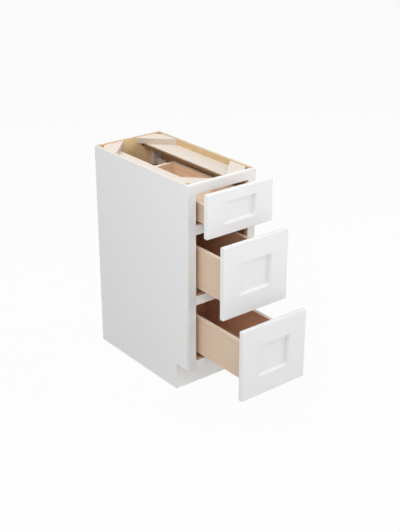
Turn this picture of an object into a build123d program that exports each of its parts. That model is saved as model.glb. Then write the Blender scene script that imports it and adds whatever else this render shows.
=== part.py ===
from build123d import *
from collections import namedtuple
import os

# Three-drawer face-frame base cabinet. Origin: middle of the cabinet's back, on the floor.
# +Z up, +Y towards the wall, +X to the right for someone who faces the drawers. Millimetres.

# ---- Driving dimensions: carcass ----
cabinet_width = 323.85
cabinet_depth = 609.6  # wall to the front of the face frame
cabinet_height = 876.3
kick_height = 114.3
kick_setback = 79.4  # front of the frame to the front of the toe-kick board
panel_thick = 12.7  # plywood of the sides, back, bottom and toe kick
dado_depth = 6.35  # how far a panel enters the groove or rabbet of its neighbour
fit_gap = 0.1  # clearance in every glued joint

# ---- Driving dimensions: face frame ----
frame_thick = 19.05
stile_width = 36.5
rail_width = 36.5
upper_face_lap = 15.1  # how far the top drawer's face reaches below its opening
middle_opening_extra = 12.0  # middle opening's height over the bottom one's
tenon_length = 12.0
tenon_thick = 7.0
edge_ease = 1.5  # rounding of painted edges that hands touch

# ---- Driving dimensions: braces under the rim ----
block_leg = 118.0  # reach of a corner block along each wall
block_inner_leg = 27.0  # open triangle that it leaves in the corner
block_thick = 22.2
block_drop = 2.0  # top of a block below the rim
block_hole_radius = 2.4  # clearance hole for a worktop screw
left_ledger_width = 72.0
right_ledger_width = 89.0
ledger_thick = 15.9

# ---- Driving dimensions: drawer faces ----
face_thick = 19.05
face_reveal_side = 7.3
face_reveal_top = 7.6
face_reveal_bottom = 9.6
face_gap = 3.0
upper_face_height = 168.0
face_stile_width = 83.9  # up to the flat panel, bevel included
tall_face_rail = 85.0
upper_face_rail = 47.0
face_panel_thick = 5.2
face_panel_recess = 11.5  # front of the flat panel behind the front of its frame
face_bevel = 6.0  # width of the slope that leads down to the panel on all four sides
face_groove_depth = 9.5

# ---- Driving dimensions: drawer boxes ----
box_wall = 15.9
box_side_gap = 16.0  # opening edge to box side
box_rise = 26.5  # opening's lower edge to the box's lower edge
box_headroom = 59.5  # top of a box to the opening's upper edge
upper_box_rise = 10.0
upper_box_headroom = 38.0
box_bottom_thick = 6.35
box_bottom_rise = 12.7
box_groove_depth = 6.0
box_edge_round = 2.0  # rounding of a box's upper edges
dovetail_pitch = 25.4
dovetail_lap = 4.0  # wood left in front of the tails of a half-blind joint
dovetail_slope = 1 / 6
pin_share = 0.36  # width of a pin at the end of the side, as a share of the pitch

# ---- Driving dimensions: undermount slides ----
close_gap = 1.6  # closed face to face frame
upper_opened = 82.4  # how far each drawer stands open at rest
middle_opened = 175.8
lower_opened = 287.5
sheet = 1.5  # steel of the slide members
slide_back_room = 53.85  # end of a slide to the back panel
middle_member_short = 53.0  # middle member's length under the slide's
slide_inset = 1.0  # inner face of a box side to the slide
slide_width = 28.0
runner_depth = 10.9  # height of the drawer member
nest_gap = 2.0  # clearance between nested members
track_drop = 12.5  # lowest point of the track below the box
track_wall = 9.5
flange_height = 65.0
tab_width = 22.0
tab_height = 36.0
tab_reach = 30.0
bracket_width = 40.0
bracket_depth = 22.0
bracket_height = 57.0
bracket_rise = 25.5  # foot of a bracket above the box's lower edge
bracket_wall = 3.0
socket_length = 28.0
socket_height = 26.0
screw_hole_radius = 2.1
hook_radius = 2.5
hook_rise = 6.0  # hook pin above the box bottom
hook_reach = 8.0
clip_length = 42.0
clip_width = 30.0

# ---- Planes worked out from the driving dimensions ----
half_width = cabinet_width / 2
side_inner = half_width - panel_thick
frame_front = -cabinet_depth
frame_back = frame_front + frame_thick
back_inner = -panel_thick
kick_front = frame_front + kick_setback
opening_edge = half_width - stile_width
rail_reach = opening_edge - fit_gap  # half the length of a rail between its tenons
bottom_rail_top = kick_height + rail_width
upper_opening_height = upper_face_height - upper_face_lap - (rail_width - face_reveal_top)
tall_openings = cabinet_height - kick_height - 4 * rail_width - upper_opening_height
middle_opening_height = (tall_openings + middle_opening_extra) / 2
lower_opening_height = tall_openings - middle_opening_height
lower_opening = bottom_rail_top
middle_opening = lower_opening + lower_opening_height + rail_width
upper_opening = middle_opening + middle_opening_height + rail_width
block_top = cabinet_height - block_drop
ledger_top = block_top - block_thick
box_half = opening_edge - box_side_gap
box_inner = box_half - box_wall
slide_length = cabinet_depth - frame_thick - panel_thick - slide_back_room
box_length = slide_length
middle_member_length = slide_length - middle_member_short
tall_face_height = (
    cabinet_height - kick_height - face_reveal_top - face_reveal_bottom - upper_face_height - 2 * face_gap
) / 2
lower_face = kick_height + face_reveal_bottom
middle_face = lower_face + tall_face_height + face_gap
upper_face = middle_face + tall_face_height + face_gap

Drawer = namedtuple("Drawer", "name face_low face_height face_rail box_low box_height opened")


def drawer(name, face, face_rail, opening, rise, headroom, opened):
    """A drawer from its face and its opening, each a lower edge and a height."""
    return Drawer(name, *face, face_rail, opening[0] + rise, opening[1] - rise - headroom, opened)


drawers = [
    drawer(
        "top",
        (upper_face, upper_face_height),
        upper_face_rail,
        (upper_opening, upper_opening_height),
        upper_box_rise,
        upper_box_headroom,
        upper_opened,
    ),
    drawer(
        "middle",
        (middle_face, tall_face_height),
        tall_face_rail,
        (middle_opening, middle_opening_height),
        box_rise,
        box_headroom,
        middle_opened,
    ),
    drawer(
        "bottom",
        (lower_face, tall_face_height),
        tall_face_rail,
        (lower_opening, lower_opening_height),
        box_rise,
        box_headroom,
        lower_opened,
    ),
]


# ---- Small tools ----
def slab(x, y, z):
    """A box between a low and a high limit on each axis."""
    size = [high - low for low, high in (x, y, z)]
    return Pos(x[0], y[0], z[0]) * Box(*size, align=(Align.MIN, Align.MIN, Align.MIN))


def mirrored(shape):
    """The same piece on the other side of the cabinet."""
    return mirror(shape, about=Plane.YZ)


def pair(shape):
    """A right-hand piece and its left-hand twin."""
    return [mirrored(shape), shape]


def rod(radius, start, length, direction):
    """A round bar from a start point."""
    return extrude(Plane(start, z_dir=direction) * Circle(radius), length)


def on(edge, **where):
    """Whether an edge's middle lies at the given coordinates."""
    middle = edge @ 0.5
    return all(abs(getattr(middle, axis.upper()) - value) < 0.01 for axis, value in where.items())


def save(name, solids):
    """One file for a node, which may hold several like pieces."""
    solids = solids if isinstance(solids, list) else [solids]
    bodies = [body for shape in solids for body in shape.solids()]
    export_step(bodies[0] if len(bodies) == 1 else Compound(bodies), f"parts/{name}.step")


# ---- Carcass panels ----
def right_side():
    """Plywood side with a toe notch, a rabbet for the back and a dado for the bottom."""
    tongue_front = frame_back - dado_depth + fit_gap
    side = slab((side_inner, half_width), (tongue_front, 0), (0, cabinet_height))
    side -= slab((side_inner, half_width), (tongue_front, kick_front), (0, kick_height))
    dado = (side_inner, side_inner + dado_depth)
    side -= slab(dado, (back_inner - fit_gap, 0), (0, cabinet_height))
    floor_top = bottom_rail_top + fit_gap
    side -= slab(dado, (tongue_front, back_inner), (floor_top - panel_thick - 2 * fit_gap, floor_top))
    return side


def back_panel():
    reach = side_inner + dado_depth - fit_gap
    return slab((-reach, reach), (back_inner, 0), (0, cabinet_height))


def bottom_panel():
    reach = side_inner + dado_depth - fit_gap
    y = (frame_back + fit_gap, back_inner - fit_gap)
    return slab((-reach, reach), y, (bottom_rail_top - panel_thick, bottom_rail_top))


def toe_kick_board():
    reach = side_inner - fit_gap
    return slab((-reach, reach), (kick_front, kick_front + panel_thick), (0, kick_height - fit_gap))


# ---- Face frame: rails tenoned into the stiles ----
def rail_levels():
    return {
        "bottom_rail": kick_height,
        "lower_mid_rail": middle_opening - rail_width,
        "upper_mid_rail": upper_opening - rail_width,
        "top_rail": cabinet_height - rail_width,
    }


def tenon(z, gap):
    """The stub tenon on a rail's right end, or with a gap the mortise for it."""
    centre = (frame_front + frame_back) / 2
    shoulder = rail_width / 6
    return slab(
        (rail_reach, opening_edge + tenon_length + gap),
        (centre - tenon_thick / 2 - gap, centre + tenon_thick / 2 + gap),
        (z + shoulder - gap, z + rail_width - shoulder + gap),
    )


def rail(z):
    board = slab((-rail_reach, rail_reach), (frame_front, frame_back), (z, z + rail_width))
    end = tenon(z, 0)
    return board + end + mirrored(end)


def right_stile():
    stile = slab((opening_edge, half_width), (frame_front, frame_back), (kick_height, cabinet_height))
    side_rabbet = (frame_back - dado_depth, frame_back)
    stile -= slab((side_inner - fit_gap, half_width), side_rabbet, (kick_height, cabinet_height))
    for z in rail_levels().values():
        stile -= tenon(z, fit_gap)
    outer = [edge for edge in stile.edges().filter_by(Axis.Z) if on(edge, x=half_width, y=frame_front)]
    return fillet(outer, edge_ease)


# ---- Braces under the rim ----
def hole_offset():
    return (block_leg + block_inner_leg) / 4


def block_holes():
    """Places of the four worktop screws, in the order of the corners."""
    x = side_inner - hole_offset()
    return [(x, frame_back + hole_offset()), (x, back_inner - hole_offset())]


def corner_block(front):
    """Right-hand block: a strip cut at 45 degrees at both ends."""
    corner_y, inward = (frame_back, 1) if front else (back_inner, -1)
    outline = [(block_inner_leg, 0), (block_leg, 0), (0, block_leg), (0, block_inner_leg)]
    wall = fit_gap
    points = [(side_inner - wall - u, corner_y + inward * (wall + v)) for u, v in outline]
    strip = make_face(Polyline(*points, close=True))
    block = Pos(0, 0, ledger_top) * extrude(strip, block_thick, dir=(0, 0, 1))
    x, y = block_holes()[0 if front else 1]
    return block - rod(block_hole_radius, (x, y, ledger_top), block_thick, (0, 0, 1))


def right_ledger(width):
    """Plywood board along the side that the blocks sit on."""
    board = slab(
        (side_inner - width, side_inner - fit_gap),
        (frame_back + fit_gap, back_inner - fit_gap),
        (ledger_top - ledger_thick, ledger_top - fit_gap),
    )
    for x, y in block_holes():
        board -= rod(block_hole_radius, (x, y, ledger_top - ledger_thick), ledger_thick, (0, 0, 1))
    return board


# ---- Drawer face: five-piece frame and flat panel ----
class Face:
    """Limits of one drawer face; y_back is the plane that the box is screwed to."""

    def __init__(self, z, height, rail, opened):
        self.half = half_width - face_reveal_side
        self.inner = self.half - face_stile_width
        self.low, self.high, self.rail = z, z + height, rail
        self.y_back = frame_front - close_gap - opened
        self.y_front = self.y_back - face_thick
        panel_front = self.y_front + face_panel_recess
        self.groove_y = (panel_front, panel_front + face_panel_thick)

    def panel(self, gap=0.0):
        reach = self.inner + face_groove_depth - fit_gap + gap
        low = self.low + self.rail - face_groove_depth + fit_gap - gap
        high = self.high - self.rail + face_groove_depth - fit_gap + gap
        return slab((-reach, reach), (self.groove_y[0] - gap, self.groove_y[1] + gap), (low, high))

    def tongue(self, z, gap=0.0):
        """The stub tongue on a rail's right end, as long as the groove is deep."""
        reach = self.inner + face_groove_depth - fit_gap + gap
        y = (self.groove_y[0] - gap, self.groove_y[1] + gap)
        return slab((self.inner, reach), y, (z - gap, z + self.rail + gap))

    def bevelled_room(self):
        """The room in front of the panel: its walls slope out to the front of the frame."""
        sections = []
        for y, grow in ((self.groove_y[0], 0), (self.y_front, face_bevel)):
            x = self.inner + grow
            low, high = self.low + self.rail - grow, self.high - self.rail + grow
            corners = [(-x, y, low), (x, y, low), (x, y, high), (-x, y, high)]
            sections.append(make_face(Polyline(*corners, close=True)))
        return loft(sections, ruled=True)

    def face_rail(self, z, outer_z):
        board = slab((-self.inner, self.inner), (self.y_front, self.y_back), (z, z + self.rail))
        board -= self.panel(fit_gap)
        board -= self.bevelled_room()
        tongue = self.tongue(z) - self.panel(fit_gap)
        front = [edge for edge in board.edges().filter_by(Axis.X) if on(edge, y=self.y_front, z=outer_z)]
        return fillet(front, edge_ease) + tongue + mirrored(tongue)

    def right_stile(self):
        stile = slab((self.inner, self.half), (self.y_front, self.y_back), (self.low, self.high))
        stile -= self.panel(fit_gap)
        stile -= self.bevelled_room()
        for z in (self.low, self.high - self.rail):
            stile -= self.tongue(z, fit_gap)
        limits = ({"x": self.half}, {"z": self.low}, {"z": self.high})
        front = [
            edge for edge in stile.edges() for limit in limits if on(edge, y=self.y_front, **limit)
        ]
        return fillet(front, edge_ease)

    def pieces(self):
        stile = self.right_stile()
        return {
            "face_left_stile": mirrored(stile),
            "face_right_stile": stile,
            "face_top_rail": self.face_rail(self.high - self.rail, self.high),
            "face_bottom_rail": self.face_rail(self.low, self.low),
            "face_panel": self.panel(),
        }


# ---- Drawer box: half-blind dovetails at all four corners ----
class DrawerBox:
    """Limits of one box; its front is screwed to the drawer face."""

    def __init__(self, low, height, y_front):
        self.low, self.high = low, low + height
        self.y_front, self.y_back = y_front, y_front + box_length
        self.front_inner = self.y_front + box_wall
        self.back_inner = self.y_back - box_wall
        self.bottom_z = low + box_bottom_rise

    def tails(self, gap=0.0):
        """The tails of the right side at both ends, between half pins at the edges."""
        count = max(1, round((self.high - self.low) / dovetail_pitch))
        pitch = (self.high - self.low) / count
        end_half = pitch * (1 - pin_share) / 2
        length = box_wall - dovetail_lap
        root_half = end_half - length * dovetail_slope
        shapes = []
        for number in range(count):
            middle = self.low + (number + 0.5) * pitch
            for root, outward in ((self.front_inner, -1), (self.back_inner, 1)):
                end = root + outward * (length + gap)
                shapes.append(self.tail(middle, root, end, root_half + gap, end_half + gap))
        return shapes

    def tail(self, middle, root, end, root_half, end_half):
        """One tail: a trapezium, wider at the end of the side, as thick as the side."""
        outline = [
            (root, middle - root_half),
            (end, middle - end_half),
            (end, middle + end_half),
            (root, middle + root_half),
        ]
        face = make_face(Polyline(*[(box_inner, y, z) for y, z in outline], close=True))
        return extrude(face, box_wall, dir=(1, 0, 0))

    def bottom(self, gap=0.0):
        reach = box_groove_depth - fit_gap + gap
        return slab(
            (-box_inner - reach, box_inner + reach),
            (self.front_inner - reach, self.back_inner + reach),
            (self.bottom_z - gap, self.bottom_z + box_bottom_thick + gap),
        )

    def right_side(self):
        side = slab((box_inner, box_half), (self.front_inner, self.back_inner), (self.low, self.high))
        upper = [edge for edge in side.edges().filter_by(Axis.Y) if on(edge, z=self.high)]
        side = fillet(upper, box_edge_round)
        for tail in self.tails():
            side += tail
        return side - self.bottom(fit_gap)

    def end_board(self, y):
        """Front or back: full width, with a socket for every tail."""
        board = slab((-box_half, box_half), y, (self.low, self.high))
        upper = [edge for edge in board.edges().filter_by(Axis.X) if on(edge, z=self.high)]
        board = fillet(upper, box_edge_round)
        for tail in self.tails(fit_gap):
            board -= tail
            board -= mirrored(tail)
        return board - self.bottom(fit_gap)

    def front(self):
        return self.end_board((self.y_front, self.front_inner - fit_gap))

    def back(self):
        """The back has a notch for each slide and a hole for its hook."""
        board = self.end_board((self.back_inner + fit_gap, self.y_back))
        x = (box_inner - slide_inset - slide_width - nest_gap, box_inner)
        notch = slab(x, (self.back_inner, self.y_back), (self.low, self.bottom_z))
        hook_hole = rod(hook_radius + nest_gap / 4, self.hook_start(), box_wall, (0, 1, 0))
        for cut in (notch, hook_hole):
            board -= cut
            board -= mirrored(cut)
        return board

    def hook_start(self):
        x = box_inner - slide_inset - slide_width / 2
        return (x, self.back_inner, self.bottom_z + box_bottom_thick + hook_rise)

    def pieces(self):
        side = self.right_side()
        return {
            "box_left_side": mirrored(side),
            "box_right_side": side,
            "box_front": self.front(),
            "box_back": self.back(),
            "box_bottom": self.bottom(),
        }


# ---- Undermount slides: track, middle member and drawer member, nested ----
def channel(x, z, y, open_side):
    """A thin channel between limits, open at its top or its bottom."""
    inner_z = (z[0], z[1] - sheet) if open_side == "bottom" else (z[0] + sheet, z[1])
    return slab(x, y, z) - slab((x[0] + sheet, x[1] - sheet), y, inner_z)


def slide_x():
    right = box_inner - slide_inset
    return (right - slide_width, right)


def nested(limits, amount):
    return (limits[0] + amount, limits[1] - amount)


def right_track(low):
    """Fixed member: channel under the box, web, side flange and a tab screwed to the frame."""
    y = (frame_back + fit_gap, frame_back + fit_gap + slide_length)
    floor = low - track_drop
    flange = (opening_edge - sheet, opening_edge)
    track = channel(slide_x(), (floor, floor + track_wall), y, "top")
    track += slab((slide_x()[1] - sheet, flange[1]), y, (floor, floor + sheet))
    track += slab(flange, y, (floor, floor + flange_height))
    tab = slab((flange[0], flange[0] + tab_width), (y[0], y[0] + sheet), (floor, floor + tab_height))
    foot = slab((flange[0], flange[0] + sheet), (y[0], y[0] + tab_reach), (floor, floor + flange_height))
    track += tab + foot
    screw_hole = (opening_edge + tab_width / 2, y[0], floor + tab_height / 2)
    return track - rod(screw_hole_radius, screw_hole, sheet, (0, 1, 0))


def middle_member(low, opened):
    """Middle member: a slotted box section inside the track and the drawer member."""
    x = nested(slide_x(), sheet + nest_gap)
    z = (low - track_drop + sheet + nest_gap, low + box_bottom_rise - fit_gap - sheet - nest_gap)
    start = frame_front - close_gap + box_wall + clip_length + nest_gap - opened / 2
    y = (start, start + middle_member_length)
    inner = slab(nested(x, sheet), y, nested(z, sheet))
    slot = slab((x[0], x[0] + sheet), y, nested(z, (z[1] - z[0]) / 3))
    return slab(x, y, z) - inner - slot


def drawer_member(box):
    """Drawer member under the box bottom, with a tab and pin hooked into the box back."""
    top = box.bottom_z - fit_gap
    y = (box.front_inner + clip_length + nest_gap, box.y_back)
    member = channel(slide_x(), (top - runner_depth, top), y, "bottom")
    x, _, z = box.hook_start()
    half = slide_width / 4
    tab_y = (y[1] + fit_gap, y[1] + fit_gap + sheet)
    member += slab((x - half, x + half), tab_y, (top - sheet, z + half))
    member += slab((x - half, x + half), (y[1] - sheet, tab_y[1]), (top - sheet, top))
    return member + rod(hook_radius, (x, tab_y[1], z), sheet + hook_reach, (0, -1, 0))


def front_clip(box):
    """Plastic latch that locks the box to the front of the slide, with a thumb lever."""
    right = slide_x()[1]
    top = box.bottom_z - fit_gap
    x = (right - clip_width, right)
    y = (box.front_inner + fit_gap, box.front_inner + clip_length)
    base = slab(x, y, (top - runner_depth / 2, top))
    lever = slab((x[0] + 4 * sheet, x[0] + 8 * sheet), (y[0], y[1] - nest_gap), (top - runner_depth, top))
    cheek = slab((x[1] - 2 * sheet, x[1]), y, (top - runner_depth, top))
    return base + lever + cheek


def right_bracket(low):
    """Rear bracket: a hood screwed to the back panel, with a slotted arm for the flange."""
    centre = opening_edge - sheet / 2
    y_wall = back_inner - fit_gap
    y_front = y_wall - bracket_depth
    x = (centre - bracket_width / 2, min(centre + bracket_width / 2, side_inner - fit_gap))
    z = (low + bracket_rise, low + bracket_rise + bracket_height)
    hollow_y = (y_front + bracket_wall, y_wall)
    hood = slab(x, (y_front, y_wall), z)
    hood -= slab(nested(x, bracket_wall), hollow_y, (z[0], z[1] - bracket_wall))
    hood += slab(x, hollow_y, nested(z, (bracket_height - bracket_wall) / 2))  # rib between the screws
    track_end = frame_back + fit_gap + slide_length
    arm_half = bracket_wall + sheet
    arm_y = (track_end - socket_length, y_wall)
    arm = slab((centre - arm_half, centre + arm_half), arm_y, (z[0], z[0] + socket_height))
    slot_x = (centre - sheet / 2 - fit_gap, centre + sheet / 2 + fit_gap)
    slot = slab(slot_x, (arm_y[0], track_end + fit_gap), z)
    bracket = hood + arm - slot
    for share in (0.25, 0.75):
        screw_hole = (centre - bracket_width / 4, y_front, z[0] + share * bracket_height)
        bracket -= rod(screw_hole_radius, screw_hole, bracket_wall, (0, 1, 0))
    return bracket


# ---- Build and save ----
os.makedirs("parts", exist_ok=True)

side_panel = right_side()
save("left_side_panel", mirrored(side_panel))
save("right_side_panel", side_panel)
save("back_panel", back_panel())
save("bottom_panel", bottom_panel())
save("toe_kick_board", toe_kick_board())

stile = right_stile()
save("left_stile", mirrored(stile))
save("right_stile", stile)
for rail_name, level in rail_levels().items():
    save(rail_name, rail(level))

for place, at_front in (("front", True), ("back", False)):
    brace = corner_block(at_front)
    save(f"{place}_left_corner_block", mirrored(brace))
    save(f"{place}_right_corner_block", brace)
save("left_top_ledger", mirrored(right_ledger(left_ledger_width)))
save("right_top_ledger", right_ledger(right_ledger_width))

tracks = []
brackets = []
for unit in drawers:
    tracks += pair(right_track(unit.box_low))
    brackets += pair(right_bracket(unit.box_low))
save("slide_tracks", tracks)
save("rear_slide_brackets", brackets)

for unit in drawers:
    face = Face(unit.face_low, unit.face_height, unit.face_rail, unit.opened)
    box = DrawerBox(unit.box_low, unit.box_height, face.y_back)
    for piece_name, piece in {**face.pieces(), **box.pieces()}.items():
        save(f"{unit.name}_{piece_name}", piece)
    save(f"{unit.name}_slide_drawer_members", pair(drawer_member(box)))
    save(f"{unit.name}_slide_clips", pair(front_clip(box)))
    save(f"{unit.name}_slide_middle_members", pair(middle_member(box.low, unit.opened)))
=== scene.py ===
import math

import bpy
import numpy as np
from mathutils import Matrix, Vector


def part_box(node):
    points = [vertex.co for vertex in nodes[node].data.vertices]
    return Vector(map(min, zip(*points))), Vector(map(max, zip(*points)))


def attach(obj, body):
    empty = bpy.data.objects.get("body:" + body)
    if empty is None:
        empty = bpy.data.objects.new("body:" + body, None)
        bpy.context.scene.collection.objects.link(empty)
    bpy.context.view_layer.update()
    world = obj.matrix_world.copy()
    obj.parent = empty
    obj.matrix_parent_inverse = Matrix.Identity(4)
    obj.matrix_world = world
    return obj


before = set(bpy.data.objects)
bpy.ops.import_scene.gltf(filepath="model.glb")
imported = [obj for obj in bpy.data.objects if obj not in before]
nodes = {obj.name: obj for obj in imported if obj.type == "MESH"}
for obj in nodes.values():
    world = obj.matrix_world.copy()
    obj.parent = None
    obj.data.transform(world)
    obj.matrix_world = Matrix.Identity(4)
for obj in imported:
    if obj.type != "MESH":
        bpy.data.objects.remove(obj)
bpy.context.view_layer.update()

scene = bpy.context.scene
drawerNames = ("top", "middle", "bottom")
squareOn = 0.7      # a face looks along an axis when that part of its normal is larger than this
noiseSpan = (0.3, 0.7)      # most of a noise's values lie between these


def srgb(r, g, b):
    # screen values 0-255 to the linear colour that renders as them
    c = np.array([r, g, b]) / 255
    lin = np.where(c <= 0.04045, c / 12.92, ((c + 0.055) / 1.055) ** 2.4)
    return (*lin.tolist(), 1.0)


def tinted(colour, *shares):
    return tuple(c * share for c, share in zip(colour, shares)) + (1,)


def darker(colour, share):
    return tinted(colour, 1 - share, 1 - share, 1 - share)


class Maker:
    # one material under construction; every call adds a node and links it up
    def __init__(self, name):
        self.mat = bpy.data.materials.new(name)
        self.mat.use_nodes = True
        self.tree = self.mat.node_tree
        self.shader = self.tree.nodes["Principled BSDF"]
        self.coords = self.tree.nodes.new("ShaderNodeTexCoord")

    def link(self, a, b):
        self.tree.links.new(a, b)

    def put(self, socket, value):
        # a plain number or colour is set on the socket, anything else is linked to it
        if isinstance(value, (int, float, tuple)):
            socket.default_value = value
        elif value is not None:
            self.link(value, socket)

    def noise(self, scale, detail=3.0, rough=0.5, shift=(0, 0, 0)):
        # scale: repeats in a metre, one number for each axis
        place = self.tree.nodes.new("ShaderNodeMapping")
        place.inputs["Scale"].default_value = scale
        place.inputs["Location"].default_value = shift
        self.link(self.coords.outputs["Object"], place.inputs["Vector"])
        n = self.tree.nodes.new("ShaderNodeTexNoise")
        for key, value in (("Scale", 1.0), ("Detail", detail), ("Roughness", rough)):
            n.inputs[key].default_value = value
        self.link(place.outputs["Vector"], n.inputs["Vector"])
        return n.outputs["Fac"]

    def math(self, kind, *values):
        n = self.tree.nodes.new("ShaderNodeMath")
        n.operation = kind
        for socket, value in zip(n.inputs, values):
            self.put(socket, value)
        return n.outputs[0]

    def remap(self, value, fromLow, fromHigh, low=0.0, high=1.0):
        n = self.tree.nodes.new("ShaderNodeMapRange")
        for key, v in (("From Min", fromLow), ("From Max", fromHigh), ("To Min", low), ("To Max", high)):
            n.inputs[key].default_value = v
        self.link(value, n.inputs["Value"])
        return n.outputs["Result"]

    def ramp(self, value, stops):
        stops = list(stops)
        n = self.tree.nodes.new("ShaderNodeValToRGB")
        el = n.color_ramp.elements
        while len(el) < len(stops):
            el.new(0.5)
        for e, (pos, colour) in zip(el, stops):
            e.position = pos
            e.color = colour
        self.link(value, n.inputs["Fac"])
        return n.outputs["Color"]

    def mix(self, factor, a, b):
        n = self.tree.nodes.new("ShaderNodeMix")
        n.data_type = "RGBA"
        for socket, value in ((n.inputs["Factor"], factor), (n.inputs[6], a), (n.inputs[7], b)):
            self.put(socket, value)
        return n.outputs[2]

    def axes(self, output="Object"):
        n = self.tree.nodes.new("ShaderNodeSeparateXYZ")
        self.link(self.coords.outputs[output], n.inputs[0])
        return dict(zip("XYZ", n.outputs))

    def facing(self, which):
        # 1 on faces that look along an axis, either way, and 0 on the others
        return self.math("GREATER_THAN", self.math("ABSOLUTE", self.axes("Normal")[which]), squareOn)

    def looking(self, which, toward):
        # 1 only on faces that look to one end of an axis
        part = self.math("MULTIPLY", self.axes("Normal")[which], float(toward))
        return self.math("GREATER_THAN", part, squareOn)

    def bump(self, height, distance, strength, after=None):
        n = self.tree.nodes.new("ShaderNodeBump")
        n.inputs["Distance"].default_value = distance
        n.inputs["Strength"].default_value = strength
        self.link(height, n.inputs["Height"])
        self.put(n.inputs["Normal"], after)
        return n.outputs["Normal"]

    def finish(self, colour, rough, normal, **sockets):
        self.put(self.shader.inputs["Base Color"], colour)
        self.put(self.shader.inputs["Roughness"], rough)
        self.put(self.shader.inputs["Normal"], normal)
        for key, v in sockets.items():
            self.shader.inputs[key].default_value = v
        return self.mat


def stretch(axis, along, across):
    # noise scale for a pattern that runs along one axis
    return tuple(along if a == axis else across for a in "XYZ")


def dress(name, material):
    ob = nodes[name]
    ob.data.materials.clear()
    ob.data.materials.append(material)


# White satin paint over close-grained wood: a faint mottle, the grain just showing through, fine orange peel

paint = {
    "panel": (0.780, 0.782, 0.780, 1),
    "frame": (0.790, 0.790, 0.788, 1),
    # painted light: the mid rails are painted lighter than the frame, where the open drawers shade them
    "midRailsPaintedLight": (0.865, 0.862, 0.856, 1),
    # painted light: the toe kick is painted lighter than the frame, in the shade of its recess
    "toeKickPaintedLight": (0.822, 0.832, 0.832, 1),
    "face": (0.800, 0.801, 0.802, 1),
    "mottle": 0.036,        # how much darker than its colour the paint gets in its darkest spots
    "mottleScale": 5,
    "grainShare": 0.4,      # part of the mottle that follows the grain
    "grainScales": (14, 380),   # repeats in a metre, along and across the grain
    "grainBump": (0.00010, 0.5),    # depth and strength
    "peelScale": 260,
    "peelBump": (0.00006, 0.35),
    "roughness": (0.33, 0.44),
    "roughSpan": (0.2, 0.8),        # values of the mottle between which the roughness changes
    "paintedShadeHeights": (0.12, 0.68),   # painted shade near the floor: darkest at the first height and gone from the second
    # painted shade near the floor, for the stiles and for the drawer faces
    "stilePaintedShade": 0.13,
    "facePaintedShade": 0.05,
    "bareEdge": (250, 210, 184),
    "bareGrain": 0.15,      # how much darker the grain gets on a bare edge
    "bareBelow": 0.87,      # the rails' edges are bare below this height, so the cabinet's rim stays painted
}


def paintedWood(m, colour, grain, paintedFloorShade=0.0):
    # the last argument is painted shade: how much darker the paint is made near the floor
    cloud = m.noise((paint["mottleScale"],) * 3, detail=4)
    fibre = m.noise(stretch(grain, *paint["grainScales"]), detail=4, rough=0.6)
    peel = m.noise((paint["peelScale"],) * 3, detail=2)
    share = paint["grainShare"]
    base = m.mix(m.math("MULTIPLY_ADD", fibre, share, m.math("MULTIPLY", cloud, 1 - share)),
                 darker(colour, paint["mottle"]), colour)
    # painted shade: the paint is darkened towards the floor
    base = m.mix(m.remap(m.axes()["Z"], *paint["paintedShadeHeights"], paintedFloorShade, 0.0), base, (0, 0, 0, 1))
    rough = m.remap(cloud, *paint["roughSpan"], *paint["roughness"])
    return base, rough, m.bump(peel, *paint["peelBump"], m.bump(fibre, *paint["grainBump"]))


def paintMaterial(name, colour, grain, paintedFloorShade=0.0):
    m = Maker(name)
    return m.finish(*paintedWood(m, colour, grain, paintedFloorShade))


def frameMaterial(name, colour, grain, side=0):
    # paint that ends at the openings, where the edges are left as sanded wood: a stile's edge looks
    # towards the middle plane, a rail's edges look up and down
    m = Maker(name)
    # the stiles get painted shade near the floor, the rails none
    base, rough, normal = paintedWood(m, colour, grain, paint["stilePaintedShade"] if side else 0.0)
    if side:
        edge = m.looking("X", -side)
    else:
        edge = m.math("MULTIPLY", m.facing("Z"), m.math("LESS_THAN", m.axes()["Z"], paint["bareBelow"]))
    fibre = m.noise(stretch(grain, *paint["grainScales"]), detail=4, rough=0.6)
    bare = srgb(*paint["bareEdge"])
    bareWood = m.mix(fibre, bare, darker(bare, paint["bareGrain"]))
    return m.finish(m.mix(edge, base, bareWood), rough, normal)


# Bare and lacquered wood

woods = {
    # tones: light, middle and dark of the figure; rings: growth rings in a metre of width;
    # wander: how far the rings stray; figure: how strongly they show; end: end grain
    "maple": dict(tones=((220, 197, 174), (211, 187, 164), (199, 173, 148)), rings=24, wander=4.0,
                  figure=0.06, end=(190, 158, 132)),
    # the inner faces of the drawer boxes, one maple tinted for each drawer: redder as painted shade, darker
    # in the bottom drawer and paler in the top one
    "inside": dict(tones=((238, 200, 170), (230, 190, 160), (218, 176, 146)), rings=42, wander=3.0,
                   figure=0.12, end=(196, 160, 130)),
    "paintedShadeInside": dict(tones=((230, 188, 157), (220, 176, 146), (206, 160, 130)), rings=24, wander=4.0,
                       figure=0.06, end=(190, 152, 122)),
    "topInside": dict(tones=((230, 200, 172), (221, 190, 162), (204, 170, 140)), rings=42, wander=3.0,
                      figure=0.25, end=(196, 160, 130)),
    "wall": dict(tones=((218, 191, 150), (209, 179, 136), (196, 164, 120)), rings=16, wander=2.5,
                 figure=0.14, end=(196, 164, 120)),
    # the wall's veneer made browner and redder as painted shade, for the lower walls and the cabinet's
    # bottom
    "paintedShadeWall": dict(tones=((226, 176, 140), (216, 162, 124), (202, 146, 108)), rings=16, wander=2.5,
                    figure=0.14, end=(196, 150, 112)),
    # the top drawer's bottom sheet, made paler as painted light falling through the cabinet's open top
    "paintedLightBottom": dict(tones=((250, 234, 216), (245, 226, 206), (236, 214, 192)), rings=20, wander=3.0,
                       figure=0.12, end=(214, 184, 156)),
    "back": dict(tones=((244, 216, 173), (237, 204, 157), (223, 188, 141)), rings=16, wander=2.5,
                 figure=0.14, end=(196, 164, 120)),
    "poplar": dict(tones=((226, 218, 211), (218, 208, 199), (206, 194, 182)), rings=45, wander=2.2,
                   figure=0.12, end=(204, 188, 170)),
}

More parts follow.
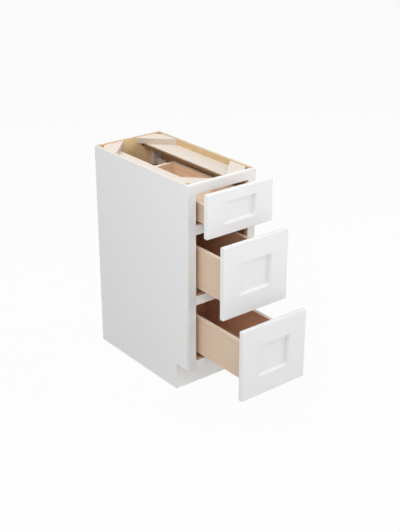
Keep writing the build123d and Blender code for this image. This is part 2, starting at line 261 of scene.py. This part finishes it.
woodDetail = {
    # scales: repeats in a metre, along and across the grain; span: the values of a noise between which
    # its effect grows from nothing to its full share
    "ringLean": 0.8,              # how far the rings cross a board at a slant
    "wanderScales": (1.1, 6.0),
    "fibreScales": (5, 300),
    "fibreBump": (0.00012, 0.5),  # depth and strength
    "toneStops": (0.22, 0.48, 0.78),  # where the light, middle and dark tones lie in the figure
    "poreScales": (30, 900),
    "poreFrom": 0.66,             # only the highest spots of the noise are pores
    "poreColour": (120, 84, 58),
    "poreShare": 0.10,
    "cloudScales": (2.0, 11),     # darker stretches of board
    "cloudShare": 0.40,
    "yellowScales": (3.0, 16),    # yellower stretches, shifted off the darker ones
    "yellowShift": (3.1, 5.2, 1.7),
    "yellowSpan": (0.40, 0.75),
    "yellowShare": 0.30,
    "yellowTint": (1.0, 0.97, 0.84),
    "speckScale": 420,            # fine spots of the end grain
    "speckSpan": (0.35, 0.7),
    "speckShare": 0.5,
    "blockRoughness": (0.54, 0.68),
}


def woodColour(m, kind, grain):
    # rings: soft bands across the grain whose distance wanders with a long noise, over fibres and pores
    w, d = woods[kind], woodDetail
    light, middle, dark = (srgb(*t) for t in w["tones"])
    first, second = (a for a in "XYZ" if a != grain)
    axes = m.axes()
    lean = m.math("MULTIPLY_ADD", axes[first], d["ringLean"], axes[second])
    wander = m.noise(stretch(grain, *d["wanderScales"]), rough=0.55)
    turns = m.math("MULTIPLY", lean, w["rings"] * 2 * math.pi)
    ring = m.math("SINE", m.math("MULTIPLY_ADD", wander, w["wander"] * 2 * math.pi, turns))
    fibre = m.noise(stretch(grain, *d["fibreScales"]), detail=5, rough=0.65)
    figure = m.math("MULTIPLY_ADD", m.math("MULTIPLY_ADD", ring, 0.5, 0.5), w["figure"],
                    m.math("MULTIPLY", fibre, 1 - w["figure"]))
    colour = m.ramp(figure, zip(d["toneStops"], (light, middle, dark)))
    cloud = m.noise(stretch(grain, *d["cloudScales"]))
    colour = m.mix(m.remap(cloud, *noiseSpan, 0, d["cloudShare"]), colour, dark)
    yellow = m.noise(stretch(grain, *d["yellowScales"]), detail=2, shift=d["yellowShift"])
    yellowShare = m.remap(yellow, *d["yellowSpan"], 0, d["yellowShare"])
    colour = m.mix(yellowShare, colour, tinted(light, *d["yellowTint"]))
    pore = m.math("GREATER_THAN", m.noise(stretch(grain, *d["poreScales"]), detail=2), d["poreFrom"])
    colour = m.mix(m.math("MULTIPLY", pore, d["poreShare"]), colour, srgb(*d["poreColour"]))
    speck = m.noise((d["speckScale"],) * 3)
    endColour = m.mix(m.remap(speck, *d["speckSpan"], 0, d["speckShare"]), srgb(*w["end"]), dark)
    return m.mix(m.facing(grain), colour, endColour), fibre


def sealWood(m, colour, fibre, roughness, bump, **sockets):
    return m.finish(colour, m.remap(fibre, *noiseSpan, *roughness), m.bump(fibre, *bump), **sockets)


def blockMaterial(name):
    m = Maker(name)
    colour, fibre = woodColour(m, "poplar", "Y")
    return sealWood(m, colour, fibre, woodDetail["blockRoughness"], woodDetail["fibreBump"])


boxBoards = {
    # for each piece: the axis of its grain, and the axis and direction in which it looks into the box
    "pieces": {"left_side": ("Y", "X", 1), "right_side": ("Y", "X", -1),
               "front": ("X", "Y", 1), "back": ("X", "Y", -1)},
    # each drawer's lining and bottom sheet are painted light and shade: darker in the lower drawers, lighter
    # in the top one
    "linings": {"top": "topInside", "middle": "inside", "bottom": "paintedShadeInside"},
    "sheets": {"top": "paintedLightBottom", "middle": "inside", "bottom": "paintedShadeInside"},
    "sheetThick": 0.00635,
    "paintedTopHighlight": (255, 244, 230),    # painted highlight along the boards' upper edge
    # how much of the painted highlight each drawer gets: less in the lower drawers, where less light falls
    "paintedHighlightShare": {"top": 1.0, "middle": 0.75, "bottom": 0.45},
    "roughness": (0.36, 0.50),
    "lacquer": {"Coat Weight": 0.15, "Coat Roughness": 0.3},
}


def boxMaterial(name, lining, grain, across, toward, paintedHighlightShare):
    # one board of a drawer box: pale outside; on the face that looks into the box the drawer's lining,
    # warmer as painted shade;
    # palest along the upper edge, as a painted highlight
    m = Maker(name)
    colour, fibre = woodColour(m, "maple", grain)
    # the lining on the face that looks into the box: painted shade
    colour = m.mix(m.looking(across, toward), colour, woodColour(m, lining, grain)[0])
    # painted highlight on the upper edge
    edge = m.math("MULTIPLY", m.looking("Z", 1), paintedHighlightShare)
    colour = m.mix(edge, colour, srgb(*boxBoards["paintedTopHighlight"]))
    return sealWood(m, colour, fibre, boxBoards["roughness"], woodDetail["fibreBump"],
                    **boxBoards["lacquer"])


plywood = {
    "edge": ((166, 130, 96), (198, 168, 134), (212, 186, 154)),   # dark, middle and light plies
    "edgeStops": (0.30, 0.50, 0.80),
    "waveScale": 40,
    "waveShare": 0.25,      # how much a slow noise blurs the change from ply to ply
    "glue": (104, 70, 44),
    "glueWidth": 0.06,      # half a glue line, as a share of a ply
    "glueShare": 0.55,
    "roughness": (0.40, 0.53),
    "fibreBump": (0.0001, 0.45),
    # for each panel: its wood, grain, the axis of its thickness, where that begins and ends, and its plies
    "back_panel": ("back", "Z", "Y", -0.0127, 0.0, 7),
    # the bottom panel carries the lower walls' painted shade
    "bottom_panel": ("paintedShadeWall", "Y", "Z", 0.1381, 0.1508, 7),
    "boxPlies": 3,
}


def plies(m, across, low, high, count):
    # the layers of a board's edge, counted from low to high, with a dark glue line between each two
    layer = m.remap(across, low, high, 0.0, count)
    wave, share = m.noise((plywood["waveScale"],) * 3), plywood["waveShare"]
    odd = m.math("MULTIPLY", m.math("PINGPONG", layer, 1.0), 1 - share)
    edge = m.ramp(m.math("MULTIPLY_ADD", wave, share, odd),
                  zip(plywood["edgeStops"], (srgb(*tone) for tone in plywood["edge"])))
    glue = m.math("LESS_THAN", m.math("PINGPONG", layer, 0.5), plywood["glueWidth"])
    return m.mix(m.math("MULTIPLY", glue, plywood["glueShare"]), edge, srgb(*plywood["glue"]))


def plyMaterial(name, kind, grain, thick, low, high, count):
    # face veneer on the wide faces, stacked plies on the edges
    m = Maker(name)
    colour, fibre = woodColour(m, kind, grain)
    colour = m.mix(m.facing(thick), plies(m, m.axes()[thick], low, high, count), colour)
    return sealWood(m, colour, fibre, plywood["roughness"], plywood["fibreBump"])


ledger = {
    "paleFrom": 0.8468,            # the plies above this height are pale, those below carry painted shade
    "pale": (190, 168, 145),
    # painted shade on the lower plies of the edges
    "paintedShadePlies": (132, 98, 64),
    "streakShade": 0.4,            # how much darker the painted shade gets in its streaks
    "streakScales": (8, 200),
    "roughness": (0.55, 0.68),
}


def ledgerMaterial(name):
    # pale veneer on the wide faces; along the edges a pale strip over plies darkened as painted shade
    m = Maker(name)
    colour, fibre = woodColour(m, "poplar", "Y")
    plyShadeTone = srgb(*ledger["paintedShadePlies"])
    streaks = m.noise(stretch("Y", *ledger["streakScales"]))
    paintedShadePlies = m.mix(streaks, plyShadeTone, darker(plyShadeTone, ledger["streakShade"]))
    upper = m.math("GREATER_THAN", m.axes()["Z"], ledger["paleFrom"])
    colour = m.mix(m.facing("Z"), m.mix(upper, paintedShadePlies, srgb(*ledger["pale"])), colour)
    return sealWood(m, colour, fibre, ledger["roughness"], plywood["fibreBump"])


sidePanel = {
    "inner": 0.149225,      # inner and outer face, measured from the middle plane
    "outer": 0.161925,
    "plies": 7,
    "paintedShadeFade": (0.76, 0.83),   # heights between which the painted shade on the veneer fades out: brown below, gold above
    # the plies' two tones, on the left side and on the right
    "rims": {-1: ((222, 215, 206), (214, 204, 192)), 1: ((210, 190, 160), (190, 164, 128))},
    "backFrom": -0.013,     # faces that look along Y are bare from here to the wall
    "skin": 0.0003,         # thickness of the outer layer that carries the paint
}


def sidePanelMaterial(name, side):
    # paint outside and on the front edges, lacquered veneer inside, browner lower down as painted shade,
    # plies on the rim and the back edge
    m = Maker(name)
    s = sidePanel
    base, rough, normal = paintedWood(m, paint["panel"], "Z")
    axes = m.axes()
    gold, paintedShadeVeneer = (woodColour(m, kind, "Z")[0] for kind in ("wall", "paintedShadeWall"))
    # painted shade: the veneer turns brown lower down
    veneer = m.mix(m.remap(axes["Z"], *s["paintedShadeFade"]), paintedShadeVeneer, gold)
    outward = m.math("MULTIPLY", axes["X"], float(side))
    within = m.math("LESS_THAN", outward, s["outer"] - s["skin"])
    odd = m.math("PINGPONG", m.remap(outward, s["inner"], s["outer"], 0.0, s["plies"]), 1.0)
    bare = m.mix(odd, *(srgb(*tone) for tone in s["rims"][side]))
    colour = m.mix(m.math("MULTIPLY", within, m.facing("X")), base, veneer)
    colour = m.mix(m.math("MULTIPLY", m.facing("Z"), within), colour, bare)
    atBack = m.math("MULTIPLY", m.facing("Y"), m.math("GREATER_THAN", axes["Y"], s["backFrom"]))
    return m.finish(m.mix(atBack, colour, bare), rough, normal)


# Zinc-plated sheet of the slides and the moulded plastic of clips and brackets

metal = {
    # the slides' zinc is darkened and warmed to brown as painted shade, for the slides in the cabinet's
    # shadow
    "zinc": (0.36, 0.29, 0.25, 1),
    "screw": (0.66, 0.65, 0.62, 1),
    "scratchScales": (12, 700),
    "scratchBump": (0.00004, 0.4),
    "spangleScale": 90,
    "spangleShade": 0.14,   # how much darker the darkest crystals of the zinc are
    "roughness": (0.34, 0.52),
    "roughSpan": (0.25, 0.75),
    "metallic": 0.7,
}


def steelMaterial(name, colour, grain):
    m = Maker(name)
    scratch = m.noise(stretch(grain, *metal["scratchScales"]))
    spangle = m.noise((metal["spangleScale"],) * 3, detail=1)
    base = m.mix(m.remap(spangle, *noiseSpan), colour, darker(colour, metal["spangleShade"]))
    rough = m.remap(scratch, *metal["roughSpan"], *metal["roughness"])
    return m.finish(base, rough, m.bump(scratch, *metal["scratchBump"]), Metallic=metal["metallic"])


plastics = {
    "bracket": (216, 202, 192),
    "clip": (98, 88, 80),
    "grainScale": 900,
    "grainBump": (0.00004, 0.5),
    "cloudScale": 20,
    "cloudShade": 0.08,
    "roughness": (0.45, 0.58),
}


def plasticMaterial(name, colour):
    m = Maker(name)
    grain = m.noise((plastics["grainScale"],) * 3, detail=2)
    cloud = m.noise((plastics["cloudScale"],) * 3, detail=2)
    rough = m.remap(grain, *noiseSpan, *plastics["roughness"])
    base = m.mix(cloud, darker(colour, plastics["cloudShade"]), colour)
    return m.finish(base, rough, m.bump(grain, *plastics["grainBump"]))


print("materials")
dress("left_side_panel", sidePanelMaterial("leftPanel", -1))
dress("right_side_panel", sidePanelMaterial("rightPanel", 1))
dress("back_panel", plyMaterial("backPly", *plywood["back_panel"]))
dress("bottom_panel", plyMaterial("bottomPly", *plywood["bottom_panel"]))
dress("left_stile", frameMaterial("leftStile", paint["frame"], "Z", -1))
dress("right_stile", frameMaterial("rightStile", paint["frame"], "Z", 1))
# the toe kick's lighter paint is painted light, against the shade of its recess
dress("toe_kick_board", paintMaterial("paintToeKickPaintedLight", paint["toeKickPaintedLight"], "X"))
outerRails = frameMaterial("outerRails", paint["frame"], "X")
# the mid rails' lighter paint is painted light, against the shade of the open drawers
midRailsPaintedLight = frameMaterial("midRailsPaintedLight", paint["midRailsPaintedLight"], "X")
for name in ("top_rail", "bottom_rail"):
    dress(name, outerRails)
for name in ("upper_mid_rail", "lower_mid_rail"):
    dress(name, midRailsPaintedLight)
poplar = blockMaterial("poplarBlock")
for side in ("left", "right"):
    for end in ("front", "back"):
        dress(f"{end}_{side}_corner_block", poplar)
    dress(f"{side}_top_ledger", ledgerMaterial(f"{side}Ledger"))
zinc = steelMaterial("zincSlide", metal["zinc"], "Y")
clipPlastic = plasticMaterial("clipGrey", srgb(*plastics["clip"]))
dress("slide_tracks", zinc)
dress("rear_slide_brackets", plasticMaterial("bracketGrey", srgb(*plastics["bracket"])))

faceUpright, faceLying = (paintMaterial(name, paint["face"], grain, paint["facePaintedShade"])
                          for name, grain in (("paintFaceUpright", "Z"), ("paintFaceRail", "X")))
for d in drawerNames:
    for piece in ("left_stile", "right_stile", "panel"):
        dress(f"{d}_face_{piece}", faceUpright)
    for piece in ("top_rail", "bottom_rail"):
        dress(f"{d}_face_{piece}", faceLying)
    for piece, ways in boxBoards["pieces"].items():
        dress(f"{d}_box_{piece}",
              boxMaterial(f"{d}_{piece}", boxBoards["linings"][d], *ways, boxBoards["paintedHighlightShare"][d]))
    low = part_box(f"{d}_box_bottom")[0][2]
    dress(f"{d}_box_bottom", plyMaterial(f"{d}BoxBottom", boxBoards["sheets"][d], "Y", "Z",
                                         low, low + boxBoards["sheetThick"], plywood["boxPlies"]))
    dress(f"{d}_slide_drawer_members", zinc)
    dress(f"{d}_slide_middle_members", zinc)
    dress(f"{d}_slide_clips", clipPlastic)


# Pan-head screws with a cross recess: on the slide tabs, the rear brackets and inside the box fronts

screws = {
    "headRadius": 0.0040,
    "headRise": 0.0024,
    "rimDrop": 0.45,          # share of the rise by which the dome has sunk at its rim
    "domePower": 3,           # how late it sinks
    "crownRings": 14,
    "crownStart": 0.06,       # radius of the innermost ring, as a share of the head's
    "crownPower": 0.8,        # below 1: the rings stand closer towards the rim
    "shankRadius": 0.0017,
    "shankLength": {"tab": 0.014, "bracket": 0.030, "face": 0.028},
    "tipRadius": 0.0002,
    "tipLengths": (0.0020, 0.0022),         # from the shank's end to the last ring, and to the very tip
    "crossWidth": 0.0007,     # half the width of one slot of the cross
    "crossReach": 0.0023,
    "crossDepth": 0.0013,
    "crossFades": (0.0003, 0.0004),         # over which the depth grows, across a slot and at its end
    "segments": 48,
    "spins": (0.5, 1.1),      # turn of the first screw of a set, and what each next one adds, in radians
    "tabPlace": (0.136425, -0.58895),       # distance from the middle plane, and Y
    "tabHeight": 0.0055,                    # above the lower edge of the drawer box's side
    "bracketPlace": (0.114675, -0.0348),
    "bracketHeights": (0.03975, 0.06825),
    "faceX": 0.082,
    "faceLow": 0.019,         # the lowest part of a box front, under its bottom's groove, has no screws
}


def screwPoints(length):
    # turned about the axis: u goes round, v runs from the crown over the head's rim to the shank's tip;
    # the crown is a flattened dome, lowered inside a cross by a depth that fades out at the slots' ends
    s = screws
    nearTip, tip = (-length - taper for taper in s["tipLengths"])
    fadeAcross, fadeAlong = s["crossFades"]
    u = np.linspace(0, 2 * math.pi, s["segments"], endpoint=False)
    crown = np.linspace(s["crownStart"], 1, s["crownRings"]) ** s["crownPower"] * s["headRadius"]
    dome = s["headRise"] * (1 - s["rimDrop"] * (crown / s["headRadius"]) ** s["domePower"])
    tail = np.array([(s["headRadius"], 0.0), (s["shankRadius"], 0.0), (s["shankRadius"], -length),
                     (s["tipRadius"], nearTip)])
    radius = np.concatenate([crown, tail[:, 0]])
    height = np.concatenate([dome, tail[:, 1]])
    x = radius[:, None] * np.cos(u)
    y = radius[:, None] * np.sin(u)
    z = np.repeat(height[:, None], len(u), axis=1)
    slot = np.clip((s["crossWidth"] - np.minimum(np.abs(x), np.abs(y))) / fadeAcross, 0, 1)
    reach = np.clip((s["crossReach"] - np.hypot(x, y)) / fadeAlong, 0, 1)
    z = z - s["crossDepth"] * slot * reach * (z > 0)
    ring = np.stack([x, y, z], axis=2).reshape(-1, 3)
    poles = np.array([(0, 0, s["headRise"] - s["crossDepth"]), (0, 0, tip)])
    return np.concatenate([ring, poles]), len(radius), len(u)


def screwFaces(rows, columns):
    # quads between neighbouring rings, and a fan of triangles at each pole
    i, j = np.meshgrid(np.arange(rows - 1), np.arange(columns), indexing="ij")
    here, below = i * columns, (i + 1) * columns
    k = (j + 1) % columns
    quads = np.stack([here + j, below + j, below + k, here + k], axis=2).reshape(-1, 4)
    j = np.arange(columns)
    k = (j + 1) % columns
    last = (rows - 1) * columns
    top = np.stack([np.full(columns, rows * columns), j, k], axis=1)
    tip = np.stack([np.full(columns, rows * columns + 1), last + k, last + j], axis=1)
    return quads.tolist() + top.tolist() + tip.tolist()


def screwSet(name, body, kind, places, outward):
    # one piece of many screws: each head stands on its place and looks along the outward direction
    points, rows, columns = screwPoints(screws["shankLength"][kind])
    faces = screwFaces(rows, columns)
    turn = np.array(Vector(outward).to_track_quat("Z", "Y").to_matrix())
    allPoints = []
    allFaces = []
    first, step = screws["spins"]
    for number, place in enumerate(places):
        spin = first + step * number
        c, s = math.cos(spin), math.sin(spin)
        around = np.array([(c, -s, 0), (s, c, 0), (0, 0, 1)])
        allPoints.append(points @ around.T @ turn.T + np.array(place))
        allFaces += [[v + number * len(points) for v in face] for face in faces]
    mesh = bpy.data.meshes.new(name)
    mesh.from_pydata(np.concatenate(allPoints).tolist(), [], allFaces)
    mesh.polygons.foreach_set("use_smooth", [True] * len(mesh.polygons))
    mesh.materials.append(steelMaterial(name + "Steel", metal["screw"], "Z"))
    piece = bpy.data.objects.new(name, mesh)
    scene.collection.objects.link(piece)
    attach(piece, body)


print("screws")
tabPlaces = []
bracketPlaces = []
for d in drawerNames:
    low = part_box(f"{d}_box_left_side")[0][2]
    for side in (-1, 1):
        x, y = screws["tabPlace"]
        tabPlaces.append((side * x, y, low + screws["tabHeight"]))
        x, y = screws["bracketPlace"]
        bracketPlaces += [(side * x, y, low + rise) for rise in screws["bracketHeights"]]
screwSet("slideTabScrews", "carcass", "tab", tabPlaces, (0, 1, 0))
screwSet("bracketScrews", "carcass", "bracket", bracketPlaces, (0, -1, 0))
for d in drawerNames:
    low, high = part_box(f"{d}_box_front")
    bottom = low[2] + screws["faceLow"]
    middle, reach = (bottom + high[2]) / 2, (high[2] - bottom) / 4
    places = [(side * screws["faceX"], high[1], middle + lift * reach)
              for side in (-1, 1) for lift in (-1, 1)]
    screwSet(f"{d}FaceScrews", f"{d}_drawer", "face", places, (0, 1, 0))


# Floor, lights and camera

studio = {
    "floorSize": 60.0,
    "floorShade": 0.62,     # colour of the floor for the light that falls on it
    "floorWhite": 0.95,     # how much of the floor's look is plain white for the camera
    "sky": 0.10,            # strength of the light that comes from all round
    "aim": (0.0, -0.5, 0.45),
    "distance": 4.0,
    # softboxes: degrees to the right of the cabinet's front, degrees above the floor, width, height, power
    "softboxes": {
        "leftHigh": (-95, 45, 3.2, 2.4, 55),
        "frontLeftLow": (-42, 14, 3.2, 2.0, 37),
        "frontLeftHigh": (-42, 45, 3.2, 2.4, 64),
        "frontRightLow": (45, 14, 3.2, 2.0, 47),
        "rightLow": (66, 14, 3.2, 2.0, 48),
        "rightHigh": (80, 45, 3.2, 2.4, 36),
        "overBack": (180, 62, 2.6, 2.6, 66),
    },
}


def seenDirectly(tree):
    # 1 for what the camera sees, straight or through a mirror or glass
    path = tree.nodes.new("ShaderNodeLightPath")
    seen = path.outputs["Is Camera Ray"]
    for kind in ("Is Glossy Ray", "Is Transmission Ray"):
        larger = tree.nodes.new("ShaderNodeMath")
        larger.operation = "MAXIMUM"
        tree.links.new(seen, larger.inputs[0])
        tree.links.new(path.outputs[kind], larger.inputs[1])
        seen = larger.outputs[0]
    return seen


def shaderNode(tree, kind, colour, strength=None):
    node = tree.nodes.new(kind)
    node.inputs["Color"].default_value = (*colour, 1)
    if strength is not None:
        node.inputs["Strength"].default_value = strength
    return node.outputs[0]


def blendInto(tree, output, share, plain, seen):
    # plain for the light that goes round, seen for the camera's share
    blend = tree.nodes.new("ShaderNodeMixShader")
    for socket, source in zip(blend.inputs, (share, plain, seen)):
        tree.links.new(source, socket)
    tree.links.new(blend.outputs[0], tree.nodes.new(output).inputs[0])


print("stage")
half = studio["floorSize"] / 2
floorMesh = bpy.data.meshes.new("floor")
corners = [(-half, -half, 0), (half, -half, 0), (half, half, 0), (-half, half, 0)]
floorMesh.from_pydata(corners, [], [(0, 1, 2, 3)])
floor = bpy.data.objects.new("floor", floorMesh)
scene.collection.objects.link(floor)

floorMat = bpy.data.materials.new("floorWhite")
floorMat.use_nodes = True
tree = floorMat.node_tree
tree.nodes.clear()
share = tree.nodes.new("ShaderNodeMath")
share.operation = "MULTIPLY"
share.inputs[1].default_value = studio["floorWhite"]
tree.links.new(seenDirectly(tree), share.inputs[0])
blendInto(tree, "ShaderNodeOutputMaterial", share.outputs[0],
          shaderNode(tree, "ShaderNodeBsdfDiffuse", (studio["floorShade"],) * 3),
          shaderNode(tree, "ShaderNodeEmission", (1, 1, 1), 1.0))
floorMesh.materials.append(floorMat)

world = bpy.data.worlds.new("studio")
scene.world = world
world.use_nodes = True
tree = world.node_tree
tree.nodes.clear()
blendInto(tree, "ShaderNodeOutputWorld", seenDirectly(tree),
          shaderNode(tree, "ShaderNodeBackground", (1, 1, 1), studio["sky"]),
          shaderNode(tree, "ShaderNodeBackground", (1, 1, 1), 1.0))


def softbox(name, around, above, width, height, power):
    # stands on a sphere about the aim and looks at it
    data = bpy.data.lights.new(name, "AREA")
    data.shape = "RECTANGLE"
    data.size, data.size_y = width, height
    data.energy = power
    a, e = math.radians(around), math.radians(above)
    away = Vector((math.sin(a) * math.cos(e), -math.cos(a) * math.cos(e), math.sin(e)))
    ob = bpy.data.objects.new(name, data)
    ob.location = Vector(studio["aim"]) + away * studio["distance"]
    ob.rotation_euler = away.to_track_quat("Z", "Y").to_euler()
    scene.collection.objects.link(ob)


for name, box in studio["softboxes"].items():
    softbox(name, *box)

view = {
    "place": (-2.2651, -3.3397, 2.1336),
    "azimuth": 38.33,    # degrees from +Y towards +X
    "down": 24.47,
    "focalPixels": 1023.0,
    "frameWidth": 400,
    "sensorWidth": 36.0,
}
camData = bpy.data.cameras.new("camera")
camData.sensor_fit = "HORIZONTAL"
camData.sensor_width = view["sensorWidth"]
camData.lens = view["sensorWidth"] * view["focalPixels"] / view["frameWidth"]
cam = bpy.data.objects.new("camera", camData)
scene.collection.objects.link(cam)
az, el = math.radians(view["azimuth"]), math.radians(view["down"])
look = Vector((math.sin(az) * math.cos(el), math.cos(az) * math.cos(el), -math.sin(el)))
cam.location = view["place"]
cam.rotation_euler = look.to_track_quat("-Z", "Y").to_euler()
scene.camera = cam
scene.view_settings.view_transform = "Standard"

print("finish")
